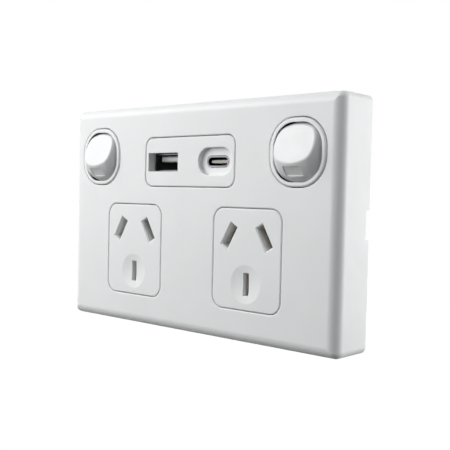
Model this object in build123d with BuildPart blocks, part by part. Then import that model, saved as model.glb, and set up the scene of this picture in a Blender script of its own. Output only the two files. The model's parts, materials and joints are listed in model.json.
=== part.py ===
from build123d import *
import os
from math import acos, atan2, cos, degrees, hypot, radians, sin

# Double wall socket with two switches and a USB-A and USB-C charger, in millimetres.
# X runs to the right, Z up and Y into the wall. The origin is on the wall, midway between
# the two fixing screws.

# Cover plate
PLATE_WIDTH = 115.5
PLATE_HEIGHT = 73.5
PLATE_DEPTH = 15.0
PLATE_CORNER = 2.0
FRONT_EDGE = 3.2
COVER_WALL = 2.0
INNER_CORNER = 1.5
EDGE_BREAK = 0.35
NOTCH_HEIGHT = 8.6
NOTCH_DEPTH = 1.6
CATCH_X = 26.0
CATCH_LENGTH = 9.0
CATCH_REACH = 0.9
CATCH_THICK = 0.8

# Mounting frame
FRAME_THICK = 2.0
FIXING_SPACING = 84.0
FIXING_SLOT_WIDTH = 4.2
FIXING_SLOT_LENGTH = 5.0
COLLAR_WALL = 1.0
COLLAR_HEIGHT = 1.5

# Socket fronts and the pin pattern of the plug
SOCKET_X = 25.0
SOCKET_FACE_Z = -11.5
SOCKET_FACE_WIDTH = 26.3
SOCKET_FACE_HEIGHT = 30.4
SOCKET_FACE_CORNER = 3.8
SOCKET_FACE_WALL = 2.0
PIN_PATTERN_Z = -8.6
LIVE_PIN_SPACING = 13.72
LIVE_PIN_RISE = 3.96
LIVE_PIN_TILT = 30.0
LIVE_PIN_LENGTH = 17.06
EARTH_PIN_DROP = 10.31
EARTH_PIN_LENGTH = 19.94
LIVE_SLOT_LENGTH = 7.5
LIVE_SLOT_WIDTH = 2.6
SLOT_LEAD_IN = 0.4
EARTH_SLOT_LENGTH = 6.85
EARTH_SLOT_WIDTH = 2.2
DISH_DIAMETER = 11.6
DISH_DEPTH = 0.5
SHOULDER_WIDTH = 1.0
SHOULDER_THICK = 1.5

# Switch housings and rockers
SWITCH_FROM_SIDE = 14.75
SWITCH_FROM_TOP = 16.65
BEZEL_RING = 1.25
BEZEL_CORNER = 8.5
BEZEL_PROUD = 0.3
BEZEL_EDGE = 0.5
BEZEL_OPENING_CORNER = 7.0
BEZEL_LIP = 1.4
LIP_FLARE = 0.6
SWITCH_SIDE_WALL = 2.2
SWITCH_END_WALL = 1.3
SWITCH_CORNER = 2.0
PIVOT_DEPTH = 5.1
ROCKER_TILT = 19.0
ROCKER_WIDTH = 15.8
ROCKER_FACE_HEIGHT = 11.7
ROCKER_RISE = 7.15
ROCKER_END_RADIUS = 7.3
ROCKER_END_FILLET = 4.4
ROCKER_FACE_EDGE = 0.9
ROCKER_SKIN = 1.5
ROCKER_SKIRT = 2.2
TRUNNION_RADIUS = 1.4
TRUNNION_LENGTH = 2.0
WINDOW_WIDTH = 6.0
WINDOW_HEIGHT = 3.4
WINDOW_DEPTH = 0.55
WINDOW_ANGLE = 56.0

# Plunger, spring and see-saw contact of each switch
PLUNGER_RADIUS = 1.5
PLUNGER_TOP = 1.1
POST_WALL = 1.2
POST_DROP = 0.5
WELL_DEPTH = 5.0
SPRING_WIRE = 0.5
SPRING_TURNS = 3.5
SEESAW_TILT = 8.0
SEESAW_LENGTH = 12.4
SEESAW_WIDTH = 4.6
SEESAW_STANDOFF = 0.5
KNUCKLE_RADIUS = 0.8
SADDLE_HEIGHT = 1.0
SADDLE_LENGTH = 3.4
RIVET_RADIUS = 1.2
RIVET_HEIGHT = 0.5
RIVET_OFFSET = 5.0

# Brass strips and contact clips
BRASS = 0.7
STRIP_WIDTH = 2.4
STRIP_BEND = 1.8
STRIP_DROP_STEP = 11.0
STRIP_CROSS_Z = 1.6
FEED_STEP = 6.5
FEED_GAP = 0.8
FEED_REAR_Z = 1.2
CLIP_SETBACK = 2.3
CLIP_WIDTH = 7.2
CLIP_MOUTH = 1.7
CLIP_PINCH = 0.95
CLIP_BELLY = 1.5
CLIP_FLARE_LENGTH = 2.2
CLIP_SPRING_LENGTH = 2.6
CLIP_BEND = 0.5
TAB_LAP = 0.6
PIN_TIP_ROOM = 1.0
NEUTRAL_STEP = 2.0

# Rear housing and terminals
HOUSING_SIDE_ROOM = 0.15
HOUSING_TOP = 5.5
HOUSING_BOTTOM = -28.5
HOUSING_DEPTH = 20.0
HOUSING_WALL = 1.6
HOUSING_CORNER = 3.0
HOUSING_EDGE = 1.2
TERMINAL_SPACING = 9.0
TERMINAL_WIDTH = 7.6
TERMINAL_HEIGHT = 8.0
TERMINAL_DEPTH = 9.0
TERMINAL_Z = -13.0
WIRE_HOLE_RADIUS = 2.1
WIRE_ENTRY_SIZE = 6.0
WIRE_ENTRY_CORNER = 1.0
TERMINAL_SCREW_RADIUS = 1.4
TERMINAL_HEAD_RADIUS = 2.5
TERMINAL_HEAD_HEIGHT = 1.3
BARRIER_THICK = 0.8
POST_RADIUS = 4.0
POST_FLOOR = 2.0
SCREW_RADIUS = 1.45
SCREW_REACH = 7.0
SCREW_HEAD_RADIUS = 2.7
SCREW_HEAD_HEIGHT = 1.7
SCREW_SLOT_WIDTH = 0.7
SCREW_SLOT_DEPTH = 0.7
SCREW_OFFSETS = ((-10.5, 12.5), (8.0, -12.0))

# USB face, case and ports
USB_FACE_INSET = 0.6
USB_FACE_HEIGHT = 15.8
USB_FACE_CORNER = 3.0
USB_Z = 17.9
USB_A_FROM_SIDE = 8.75
USB_A_MOUTH_WIDTH = 13.9
USB_A_MOUTH_HEIGHT = 6.1
USB_A_RECESS = 3.0
USB_A_SHELL_WIDTH = 13.4
USB_A_SHELL_HEIGHT = 5.7
USB_A_SHELL_CORNER = 0.7
USB_A_TONGUE_WIDTH = 11.2
USB_A_TONGUE_THICK = 1.8
USB_A_TONGUE_RISE = 1.2
USB_A_TONGUE_SETBACK = 1.6
USB_A_CONTACT_WIDTH = 1.0
USB_A_CONTACT_PITCH = 2.3
USB_A_CONTACT_LENGTH = 7.0
USB_C_FROM_SIDE = 8.65
USB_C_RECESS_WIDTH = 14.0
USB_C_RECESS_HEIGHT = 8.4
USB_C_RECESS = 1.5
USB_C_SHELL_WIDTH = 9.0
USB_C_SHELL_HEIGHT = 3.3
USB_C_TONGUE_WIDTH = 6.7
USB_C_TONGUE_THICK = 0.7
USB_C_TONGUE_SETBACK = 0.8
USB_C_TONGUE_LENGTH = 5.0
USB_C_CONTACT_WIDTH = 0.25
USB_C_CONTACT_PITCH = 0.5
USB_C_CONTACT_COUNT = 12
USB_C_CONTACT_LENGTH = 3.6
SHELL_SHEET = 0.35
CONTACT_SHEET = 0.15
USB_CASE_WIDTH = 40.5
USB_CASE_HEIGHT = 19.0
USB_CASE_REAR = 22.0
USB_CASE_WALL = 1.5
USB_CASE_CORNER = 2.0
BOARD_THICK = 1.6
BOARD_FRONT = 2.5
CORE_WIDTH = 13.5
CORE_DEPTH = 12.0
CORE_LIMB = 3.0
CORE_HEADROOM = 1.5
WINDING_HEADROOM = 0.8
CAPACITOR_RADIUS = 3.6
CAPACITOR_LENGTH = 12.5
CAPACITOR_SPACING = 8.0
CAPACITOR_EDGE = 0.7
SUPPLY_PIN_RADIUS = 0.6
SUPPLY_PIN_RISE = 3.2
LIVE_PIN_INSET = 4.25
NEUTRAL_RISER_X = 4.5

# Clearances
SEAM = 0.25
SEAT = 0.1
FRAME_CLEARANCE = 0.3
CATCH_CLEARANCE = 0.15
MODULE_CLEARANCE = 0.25
STRIP_CLEARANCE = 0.3
CLIP_CLEARANCE = 0.3
RUNNING_CLEARANCE = 0.06
ROCKER_SIDE_CLEARANCE = 0.35
BEZEL_CLEARANCE = 0.6
ROCKER_END_CLEARANCE = 0.9
PLUNGER_CLEARANCE = 0.15
PLUNGER_GAP = 0.12
SCREW_CLEARANCE = 0.2
THREAD_CLEARANCE = 0.05
TERMINAL_CLEARANCE = 0.2
PORT_CLEARANCE = 0.2
BOARD_CLEARANCE = 0.25
CHARGER_CLEARANCE = 0.6

# Depths and places worked out from the sizes above
FRONT_Y = -PLATE_DEPTH
COVER_INNER_Y = FRONT_Y + COVER_WALL
SHOULDER_Y = COVER_INNER_Y + SEAT
FRAME_FRONT_Y = -FRAME_THICK
STRIP_Y = FRAME_FRONT_Y - BRASS / 2
INNER_WIDTH = PLATE_WIDTH - 2 * COVER_WALL
INNER_HEIGHT = PLATE_HEIGHT - 2 * COVER_WALL
FRAME_WIDTH = INNER_WIDTH - 2 * FRAME_CLEARANCE
FRAME_HEIGHT = INNER_HEIGHT - 2 * FRAME_CLEARANCE
SWITCH_X = PLATE_WIDTH / 2 - SWITCH_FROM_SIDE
SWITCH_Z = PLATE_HEIGHT / 2 - SWITCH_FROM_TOP
PIVOT_Y = FRONT_Y + PIVOT_DEPTH
BEZEL_OPENING = ROCKER_WIDTH + 2 * BEZEL_CLEARANCE
BEZEL_SIZE = BEZEL_OPENING + 2 * BEZEL_RING
BARREL_RADIUS = hypot(ROCKER_RISE, ROCKER_FACE_HEIGHT / 2)
SWITCH_CAVITY_WIDTH = ROCKER_WIDTH + 2 * ROCKER_SIDE_CLEARANCE
SWITCH_CAVITY_HEIGHT = 2 * (BARREL_RADIUS + ROCKER_END_CLEARANCE)
SWITCH_WIDTH = SWITCH_CAVITY_WIDTH + 2 * SWITCH_SIDE_WALL
SWITCH_HEIGHT = SWITCH_CAVITY_HEIGHT + 2 * SWITCH_END_WALL
SEESAW_Y = STRIP_Y - BRASS / 2 - SADDLE_HEIGHT
SEESAW_FACE_Y = SEESAW_Y - SEESAW_STANDOFF - BRASS
PLUNGER_REACH = SEESAW_FACE_Y - PIVOT_Y - PLUNGER_RADIUS - PLUNGER_GAP
WELL_RADIUS = PLUNGER_RADIUS + PLUNGER_CLEARANCE
CHAMBER_FRONT_Y = FRONT_Y + SOCKET_FACE_WALL
CHAMBER_LENGTH = CLIP_WIDTH + 2 * CLIP_CLEARANCE
CHAMBER_WIDTH = 2 * CLIP_MOUTH + BRASS + 2 * CLIP_CLEARANCE
CLIP_FRONT_Y = CHAMBER_FRONT_Y + CLIP_SETBACK + BRASS / 2
LIVE_WINDOW_WIDTH = LIVE_PIN_SPACING + CHAMBER_LENGTH
LIVE_PIN_Z = PIN_PATTERN_Z + LIVE_PIN_RISE
EARTH_PIN_Z = PIN_PATTERN_Z - EARTH_PIN_DROP
ACTIVE_Y = FRONT_Y + LIVE_PIN_LENGTH + PIN_TIP_ROOM + BRASS / 2
NEUTRAL_Y = ACTIVE_Y + NEUTRAL_STEP
EARTH_Y = FRONT_Y + EARTH_PIN_LENGTH + PIN_TIP_ROOM + BRASS / 2
STRIP_DROP_X = SOCKET_X + STRIP_DROP_STEP
FEED_RISER_X = STRIP_DROP_X - FEED_STEP
SCREW_PLACES = [(SOCKET_X + x, SOCKET_FACE_Z + z) for x, z in SCREW_OFFSETS]
HOUSING_WIDTH = 2 * (SOCKET_X + LIVE_WINDOW_WIDTH / 2 + HOUSING_SIDE_ROOM + HOUSING_WALL)
HOUSING_REAR_Y = HOUSING_DEPTH - HOUSING_WALL
TERMINAL_REAR_Y = HOUSING_REAR_Y - TERMINAL_CLEARANCE
TERMINAL_FRONT_Y = TERMINAL_REAR_Y - TERMINAL_DEPTH
TERMINAL_BORE_Y = (TERMINAL_FRONT_Y + TERMINAL_REAR_Y) / 2
LEG_Y = TERMINAL_FRONT_Y - BRASS / 2
TERMINAL_X = {"active": -TERMINAL_SPACING, "earth": 0.0, "neutral": TERMINAL_SPACING}
USB_FACE_WIDTH = USB_CASE_WIDTH - 2 * USB_FACE_INSET
USB_A_X = USB_A_FROM_SIDE - USB_CASE_WIDTH / 2
USB_C_X = USB_CASE_WIDTH / 2 - USB_C_FROM_SIDE
USB_A_FRONT_Y = FRONT_Y + USB_A_RECESS
USB_C_FRONT_Y = FRONT_Y + USB_C_RECESS
USB_CASE_FRONT_Y = SHOULDER_Y + SHOULDER_THICK
BOARD_REAR_Y = BOARD_FRONT + BOARD_THICK
CASE_INNER_WIDTH = USB_CASE_WIDTH - 2 * USB_CASE_WALL
CASE_INNER_HEIGHT = USB_CASE_HEIGHT - 2 * USB_CASE_WALL
CASE_BOTTOM_Z = USB_Z - USB_CASE_HEIGHT / 2
LEDGE_X = CASE_INNER_WIDTH / 2 - USB_CASE_WALL
CORE_X = CHARGER_CLEARANCE + CORE_WIDTH / 2 - LEDGE_X
CORE_HEIGHT = CASE_INNER_HEIGHT - 2 * CORE_HEADROOM
WINDING_HEIGHT = CASE_INNER_HEIGHT - 2 * WINDING_HEADROOM
CAPACITOR_X = LEDGE_X - CHARGER_CLEARANCE - CAPACITOR_RADIUS
FEED_CROSS_Z = CASE_BOTTOM_Z - FEED_GAP - STRIP_WIDTH / 2
LIVE_PIN_TAB_X = LIVE_PIN_INSET - USB_CASE_WIDTH / 2
SUPPLY_PIN_Z = CASE_BOTTOM_Z + SUPPLY_PIN_RISE
SIDES = {"left": -1, "right": 1}


def face_at(y):
    """A plane across the part at depth y, drawn as it is seen from the front."""
    return Plane.XZ.offset(-y)


def live_pin_x(side, pin):
    """Centre of a live pin: pin is -1 for the active slot and 1 for the neutral one."""
    return side * SOCKET_X + pin * LIVE_PIN_SPACING / 2


def slot_plane(x, z, tilt):
    """A plane across a pin slot: its x runs over the slot's width, its y into the wall."""
    turn = radians(tilt)
    return Plane((x, 0, z), x_dir=(cos(turn), 0, -sin(turn)), z_dir=(sin(turn), 0, cos(turn)))


def switch_plane(side, y, tilt):
    """A plane on a switch's centre line that faces out of the wall, its top leaning back by tilt."""
    turn = radians(tilt)
    return Plane((side * SWITCH_X, y, SWITCH_Z), x_dir=(1, 0, 0), z_dir=(0, -cos(turn), sin(turn)))


def switched_route(side):
    """Route of a switched active strip, from the switch's saddle to the active clip's top leaf."""
    turn = radians(LIVE_PIN_TILT)
    half_clip = CLIP_WIDTH / 2
    tab_x = live_pin_x(side, -1) + half_clip * sin(turn) - CLIP_BELLY * cos(turn)
    tab_z = LIVE_PIN_Z + half_clip * cos(turn) + CLIP_BELLY * sin(turn) - TAB_LAP
    return [
        (side * (SWITCH_X + SEESAW_WIDTH / 2), SWITCH_Z),
        (side * STRIP_DROP_X, SWITCH_Z),
        (side * STRIP_DROP_X, STRIP_CROSS_Z),
        (tab_x, STRIP_CROSS_Z),
        (tab_x, tab_z),
    ]


def feed_route():
    """Route of the active feed, from one switch's fixed contact to the other's."""
    contact_x = SWITCH_X + SEESAW_WIDTH / 2
    contact_z = SWITCH_Z + RIVET_OFFSET
    right = [
        (FEED_RISER_X, FEED_CROSS_Z),
        (FEED_RISER_X, contact_z),
        (contact_x, contact_z),
    ]
    return [(-x, z) for x, z in reversed(right)] + right


def flat_strip(route, y, width=STRIP_WIDTH, thick=BRASS, mode=Mode.ADD):
    """A flat strip along a route, its thickness centred on depth y."""
    with BuildSketch(face_at(y)) as strip:
        with BuildLine():
            if len(route) > 2:
                FilletPolyline(route, radius=STRIP_BEND)
            else:
                Line(*route)
        trace(line_width=width)
    extrude(strip.sketch, amount=thick / 2, both=True, mode=mode)


def folded_strip(route, x):
    """A strip folded along a route of (y, z) points, its width centred on x."""
    with BuildSketch(Plane.YZ.offset(x)) as strip:
        with BuildLine():
            FilletPolyline(route, radius=STRIP_BEND)
        trace(line_width=BRASS)
    extrude(strip.sketch, amount=STRIP_WIDTH / 2, both=True)


def strip_channel(route):
    """Cuts the room that a flat strip on the mounting frame needs, open towards the frame."""
    depth = BRASS + STRIP_CLEARANCE
    width = STRIP_WIDTH + 2 * STRIP_CLEARANCE
    flat_strip(route, FRAME_FRONT_Y - depth / 2, width, depth, Mode.SUBTRACT)


def contact_clip(x, z, tilt, bottom_y):
    """A folded spring clip for one pin: a flared mouth, a pinch, and a square bottom."""
    pinch_y = CLIP_FRONT_Y + CLIP_FLARE_LENGTH
    belly_y = pinch_y + CLIP_SPRING_LENGTH
    leaf = [
        (CLIP_BELLY, bottom_y),
        (CLIP_BELLY, belly_y),
        (CLIP_PINCH, pinch_y),
        (CLIP_MOUTH, CLIP_FRONT_Y),
    ]
    route = [(-u, y) for u, y in reversed(leaf)] + leaf
    with BuildSketch(slot_plane(x, z, tilt)) as clip:
        with BuildLine():
            FilletPolyline(route, radius=CLIP_BEND)
        trace(line_width=BRASS)
    extrude(clip.sketch, amount=CLIP_WIDTH / 2, both=True)


def save(piece, name):
    piece.label = name
    export_step(piece, f"parts/{name}.step")


def cover_corner():
    """Lower right corner of the cover, which carries the rounded front edge round from side to side."""
    place = Vector(PLATE_WIDTH / 2 - PLATE_CORNER, 0, PLATE_CORNER - PLATE_HEIGHT / 2)
    turn = degrees(acos(1 - PLATE_CORNER / FRONT_EDGE))
    with BuildPart() as corner:
        with BuildSketch(Plane(place, z_dir=(0, 0, 1))):
            with BuildLine():
                edge_centre = (PLATE_CORNER - FRONT_EDGE, FRONT_Y + FRONT_EDGE)
                edge = CenterArc(edge_centre, FRONT_EDGE, 0, -turn)
                Polyline(edge @ 1, (0, 0), (PLATE_CORNER, 0), edge @ 0)
            make_face()
        revolve(axis=Axis(place, (0, 1, 0)), revolution_arc=90)
    return corner.part


def make_cover_plate():
    """Snap-on surround: a shallow tray with rounded front edges and an opening for each face."""
    with BuildPart() as cover:
        with BuildSketch(Plane.XY) as plan:
            with Locations((0, FRONT_Y / 2)):
                Rectangle(PLATE_WIDTH, PLATE_DEPTH)
            fillet(plan.vertices().group_by(Axis.Y)[0], FRONT_EDGE)
        extrude(amount=PLATE_HEIGHT / 2, both=True)
        with BuildSketch(Plane.YZ) as profile:
            with Locations((FRONT_Y / 2, 0)):
                Rectangle(PLATE_DEPTH, PLATE_HEIGHT)
            fillet(profile.vertices().group_by(Axis.X)[0], FRONT_EDGE)
        extrude(amount=PLATE_WIDTH / 2, both=True, mode=Mode.INTERSECT)
        with BuildSketch(face_at(0)):
            with GridLocations(PLATE_WIDTH - PLATE_CORNER, PLATE_HEIGHT - PLATE_CORNER, 2, 2):
                Rectangle(PLATE_CORNER, PLATE_CORNER)
        extrude(amount=PLATE_DEPTH, mode=Mode.SUBTRACT)
        corner = cover_corner()
        for piece in (corner, corner.mirror(Plane.YZ)):
            add(piece)
            add(piece.mirror(Plane.XY))
        with BuildSketch(face_at(0)):
            RectangleRounded(INNER_WIDTH, INNER_HEIGHT, INNER_CORNER)
        extrude(amount=-COVER_INNER_Y, mode=Mode.SUBTRACT)
        with BuildSketch(face_at(COVER_INNER_Y)):
            for side in SIDES.values():
                with Locations((side * SWITCH_X, SWITCH_Z)):
                    opening = BEZEL_SIZE + 2 * SEAM
                    RectangleRounded(opening, opening, BEZEL_CORNER + SEAM)
                with Locations((side * SOCKET_X, SOCKET_FACE_Z)):
                    RectangleRounded(
                        SOCKET_FACE_WIDTH + 2 * SEAM,
                        SOCKET_FACE_HEIGHT + 2 * SEAM,
                        SOCKET_FACE_CORNER + SEAM,
                    )
            with Locations((0, USB_Z)):
                RectangleRounded(
                    USB_FACE_WIDTH + 2 * SEAM, USB_FACE_HEIGHT + 2 * SEAM, USB_FACE_CORNER + SEAM
                )
        extrude(amount=COVER_WALL, mode=Mode.SUBTRACT)
        fillet(cover.faces().sort_by(Axis.Y)[0].inner_wires().edges(), EDGE_BREAK)
        # Prying notches in the rear edge of both sides
        with Locations((-PLATE_WIDTH / 2, 0, 0), (PLATE_WIDTH / 2, 0, 0)):
            Box(4 * COVER_WALL, 2 * NOTCH_DEPTH, NOTCH_HEIGHT, mode=Mode.SUBTRACT)
        # Snap ridges that hook behind the frame's long edges
        inner_z = INNER_HEIGHT / 2
        for x in (-CATCH_X, CATCH_X):
            with BuildSketch(Plane.YZ.offset(x)):
                with BuildLine():
                    Polyline(
                        (-CATCH_THICK, inner_z),
                        (-CATCH_THICK, inner_z - CATCH_REACH),
                        (0, inner_z),
                        close=True,
                    )
                make_face()
                mirror(about=Plane.XZ)
            extrude(amount=CATCH_LENGTH / 2, both=True)
    return cover.part


def make_mounting_frame():
    """Flat frame behind the cover: fixing slots, windows for the contacts and the USB case."""
    with BuildPart() as frame:
        with BuildSketch(face_at(0)):
            RectangleRounded(FRAME_WIDTH, FRAME_HEIGHT, INNER_CORNER)
        extrude(amount=FRAME_THICK)
        # Collars round the two fixing slots
        with BuildSketch(face_at(0)):
            with GridLocations(FIXING_SPACING, 0, 2, 1):
                SlotOverall(
                    FIXING_SLOT_LENGTH + 2 * COLLAR_WALL, FIXING_SLOT_WIDTH + 2 * COLLAR_WALL
                )
        extrude(amount=FRAME_THICK + COLLAR_HEIGHT)
        with BuildSketch(face_at(0)):
            with GridLocations(FIXING_SPACING, 0, 2, 1):
                SlotOverall(FIXING_SLOT_LENGTH, FIXING_SLOT_WIDTH)
            for side in SIDES.values():
                # Windows that the live and earth clips pass through
                with Locations((side * SOCKET_X, LIVE_PIN_Z)):
                    Rectangle(LIVE_WINDOW_WIDTH, CHAMBER_LENGTH + 2 * CLIP_CLEARANCE)
                with Locations((side * SOCKET_X, EARTH_PIN_Z)):
                    Rectangle(CHAMBER_WIDTH, CHAMBER_LENGTH)
                for x, z in SCREW_PLACES:
                    with Locations((side * x, z)):
                        Circle(SCREW_RADIUS + SCREW_CLEARANCE)
            with Locations((0, USB_Z)):
                RectangleRounded(
                    USB_CASE_WIDTH + 2 * MODULE_CLEARANCE,
                    USB_CASE_HEIGHT + 2 * MODULE_CLEARANCE,
                    USB_CASE_CORNER + MODULE_CLEARANCE,
                )
            # Slot that the active feed's leg bends into
            with Locations((TERMINAL_X["active"], FEED_REAR_Z + STRIP_BEND / 2)):
                Rectangle(
                    STRIP_WIDTH + 2 * STRIP_CLEARANCE, STRIP_BEND + BRASS + 2 * STRIP_CLEARANCE
                )
        extrude(amount=FRAME_THICK + COLLAR_HEIGHT, mode=Mode.SUBTRACT)
        # Seats for the cover's snap ridges
        ridge_room = CATCH_REACH - FRAME_CLEARANCE + CATCH_CLEARANCE
        with BuildSketch(face_at(0)):
            with GridLocations(2 * CATCH_X, FRAME_HEIGHT, 2, 2):
                Rectangle(CATCH_LENGTH + 2 * FRAME_CLEARANCE, 2 * ridge_room)
        extrude(amount=CATCH_THICK + CATCH_CLEARANCE, mode=Mode.SUBTRACT)
    return frame.part


def make_socket_front(side):
    """Insulating socket block: flared live slots, a dished earth slot and a chamber for each clip."""
    x = side * SOCKET_X
    pins = [
        (live_pin_x(side, -1), LIVE_PIN_Z, LIVE_PIN_TILT),
        (live_pin_x(side, 1), LIVE_PIN_Z, -LIVE_PIN_TILT),
        (x, EARTH_PIN_Z, 0),
    ]
    with BuildPart() as socket:
        with BuildSketch(face_at(FRAME_FRONT_Y)):
            with Locations((x, SOCKET_FACE_Z)):
                RectangleRounded(SOCKET_FACE_WIDTH, SOCKET_FACE_HEIGHT, SOCKET_FACE_CORNER)
        extrude(amount=FRAME_FRONT_Y - FRONT_Y)
        fillet(socket.faces().sort_by(Axis.Y)[0].edges(), EDGE_BREAK)
        with BuildSketch(face_at(SHOULDER_Y + SHOULDER_THICK)):
            with Locations((x, SOCKET_FACE_Z)):
                RectangleRounded(
                    SOCKET_FACE_WIDTH + 2 * SHOULDER_WIDTH,
                    SOCKET_FACE_HEIGHT + 2 * SHOULDER_WIDTH,
                    SOCKET_FACE_CORNER + SHOULDER_WIDTH,
                )
        extrude(amount=SHOULDER_THICK)
        with BuildSketch(face_at(FRAME_FRONT_Y)):
            for pin_x, pin_z, tilt in pins:
                with Locations((pin_x, pin_z)):
                    Rectangle(CHAMBER_WIDTH, CHAMBER_LENGTH, rotation=-tilt)
        extrude(amount=FRAME_FRONT_Y - CHAMBER_FRONT_Y, mode=Mode.SUBTRACT)
        with BuildSketch(face_at(CHAMBER_FRONT_Y)):
            for pin_x, pin_z, tilt in pins[:2]:
                with Locations((pin_x, pin_z)):
                    Rectangle(LIVE_SLOT_WIDTH, LIVE_SLOT_LENGTH, rotation=-tilt)
        extrude(amount=SOCKET_FACE_WALL, mode=Mode.SUBTRACT)
        chamfer(socket.faces().sort_by(Axis.Y)[0].inner_wires().edges(), SLOT_LEAD_IN)
        dish_radius = (DISH_DIAMETER**2 / 4 + DISH_DEPTH**2) / (2 * DISH_DEPTH)
        with Locations((x, FRONT_Y + DISH_DEPTH - dish_radius, EARTH_PIN_Z)):
            Sphere(dish_radius, mode=Mode.SUBTRACT)
        with BuildSketch(face_at(CHAMBER_FRONT_Y)):
            with Locations((x, EARTH_PIN_Z)):
                Rectangle(EARTH_SLOT_WIDTH, EARTH_SLOT_LENGTH)
        extrude(amount=SOCKET_FACE_WALL, mode=Mode.SUBTRACT)
        strip_channel(switched_route(side))
        strip_channel(feed_route())
        with BuildSketch(face_at(FRAME_FRONT_Y)):
            with Locations((side * FIXING_SPACING / 2, 0)):
                collar_room = 2 * COLLAR_WALL + 2 * FRAME_CLEARANCE
                SlotOverall(FIXING_SLOT_LENGTH + collar_room, FIXING_SLOT_WIDTH + collar_room)
        extrude(amount=COLLAR_HEIGHT + FRAME_CLEARANCE, mode=Mode.SUBTRACT)
        with BuildSketch(face_at(FRAME_FRONT_Y)):
            for screw_x, screw_z in SCREW_PLACES:
                with Locations((side * screw_x, screw_z)):
                    Circle(SCREW_RADIUS + THREAD_CLEARANCE)
        extrude(amount=SCREW_REACH + SCREW_CLEARANCE, mode=Mode.SUBTRACT)
    return socket.part


def make_switch_housing(side):
    """Open-backed switch box with a round-cornered bezel ring and bearings for the rocker."""
    x = side * SWITCH_X
    with BuildPart() as housing:
        with BuildSketch(face_at(FRAME_FRONT_Y)):
            with Locations((x, SWITCH_Z)):
                RectangleRounded(SWITCH_WIDTH, SWITCH_HEIGHT, SWITCH_CORNER)
        extrude(amount=FRAME_FRONT_Y - SHOULDER_Y)
        with BuildSketch(face_at(SHOULDER_Y)):
            with Locations((x, SWITCH_Z)):
                RectangleRounded(BEZEL_SIZE, BEZEL_SIZE, BEZEL_CORNER)
        extrude(amount=SHOULDER_Y - FRONT_Y + BEZEL_PROUD)
        with BuildSketch(face_at(FRAME_FRONT_Y)):
            with Locations((x, SWITCH_Z)):
                Rectangle(SWITCH_CAVITY_WIDTH, SWITCH_CAVITY_HEIGHT)
        extrude(amount=FRAME_FRONT_Y - FRONT_Y - BEZEL_LIP, mode=Mode.SUBTRACT)
        # The opening widens behind its front edge to let the rocker's barrel turn
        with BuildSketch(face_at(FRONT_Y + BEZEL_LIP)):
            with Locations((x, SWITCH_Z)):
                flared = BEZEL_OPENING + 2 * LIP_FLARE
                RectangleRounded(flared, flared, BEZEL_OPENING_CORNER + LIP_FLARE)
        extrude(amount=BEZEL_LIP, taper=degrees(atan2(LIP_FLARE, BEZEL_LIP)), mode=Mode.SUBTRACT)
        with BuildSketch(face_at(FRONT_Y)):
            with Locations((x, SWITCH_Z)):
                RectangleRounded(BEZEL_OPENING, BEZEL_OPENING, BEZEL_OPENING_CORNER)
        extrude(amount=BEZEL_PROUD, mode=Mode.SUBTRACT)
        fillet(housing.faces().sort_by(Axis.Y)[0].outer_wire().edges(), BEZEL_EDGE)
        with BuildSketch(Plane.YZ.offset(x)):
            with Locations((PIVOT_Y, SWITCH_Z)):
                Circle(TRUNNION_RADIUS + RUNNING_CLEARANCE)
        extrude(amount=SWITCH_WIDTH, both=True, mode=Mode.SUBTRACT)
        strip_channel(switched_route(side))
        strip_channel(feed_route())
    return housing.part


def rocker_barrel(skin):
    """Barrel about the rocker's pivot as the X axis, thinner by skin, its flat face towards +Z."""
    half_width = ROCKER_WIDTH / 2 - skin
    with BuildPart() as barrel:
        with BuildSketch(Plane.XZ):
            with BuildLine():
                crown = ThreePointArc(
                    (-half_width, ROCKER_END_RADIUS - skin),
                    (0, BARREL_RADIUS - skin),
                    (half_width, ROCKER_END_RADIUS - skin),
                )
                Polyline(crown @ 1, (half_width, 0), (-half_width, 0), crown @ 0)
            make_face()
        revolve(axis=Axis.X)
        ends = barrel.faces().filter_by(GeomType.PLANE)
        fillet(ends.edges(), ROCKER_END_FILLET)
        split(bisect_by=Plane.XY.offset(ROCKER_RISE - skin), keep=Keep.BOTTOM)
    return barrel.part


def make_rocker(side):
    """Rocker: a hollow barrel segment with a flat face, two trunnions and a post for the plunger."""
    barrel = rocker_barrel(0)
    core = rocker_barrel(ROCKER_SKIN)
    with BuildPart() as rocker:
        add(barrel)
        fillet(rocker.faces().sort_by(Axis.Z)[-1].edges(), ROCKER_FACE_EDGE)
        split(bisect_by=Plane.XY.offset(-ROCKER_SKIRT), keep=Keep.TOP)
        add(core, mode=Mode.SUBTRACT)
        with BuildSketch(Plane.XY.offset(-POST_DROP)):
            Circle(WELL_RADIUS + POST_WALL)
        extrude(amount=POST_DROP + ROCKER_RISE - ROCKER_SKIN / 2)
        with BuildSketch(Plane.XY.offset(-POST_DROP)):
            Circle(WELL_RADIUS)
        extrude(amount=WELL_DEPTH, mode=Mode.SUBTRACT)
        for end in (-1, 1):
            cheek = Vector(end * (ROCKER_WIDTH - ROCKER_SKIN) / 2, 0, 0)
            with BuildSketch(Plane(cheek, z_dir=(end, 0, 0))):
                Circle(TRUNNION_RADIUS)
            extrude(amount=TRUNNION_LENGTH + ROCKER_SKIN / 2)
        # Bare rectangular recess in the lower wall
        turn = radians(WINDOW_ANGLE)
        facing = Vector(0, -sin(turn), cos(turn))
        floor = facing * (BARREL_RADIUS - WINDOW_DEPTH)
        with BuildSketch(Plane(floor, x_dir=(1, 0, 0), z_dir=facing)):
            Rectangle(WINDOW_WIDTH, WINDOW_HEIGHT)
        extrude(amount=2 * WINDOW_DEPTH, mode=Mode.SUBTRACT)
    return switch_plane(side, PIVOT_Y, ROCKER_TILT).location * rocker.part


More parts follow.
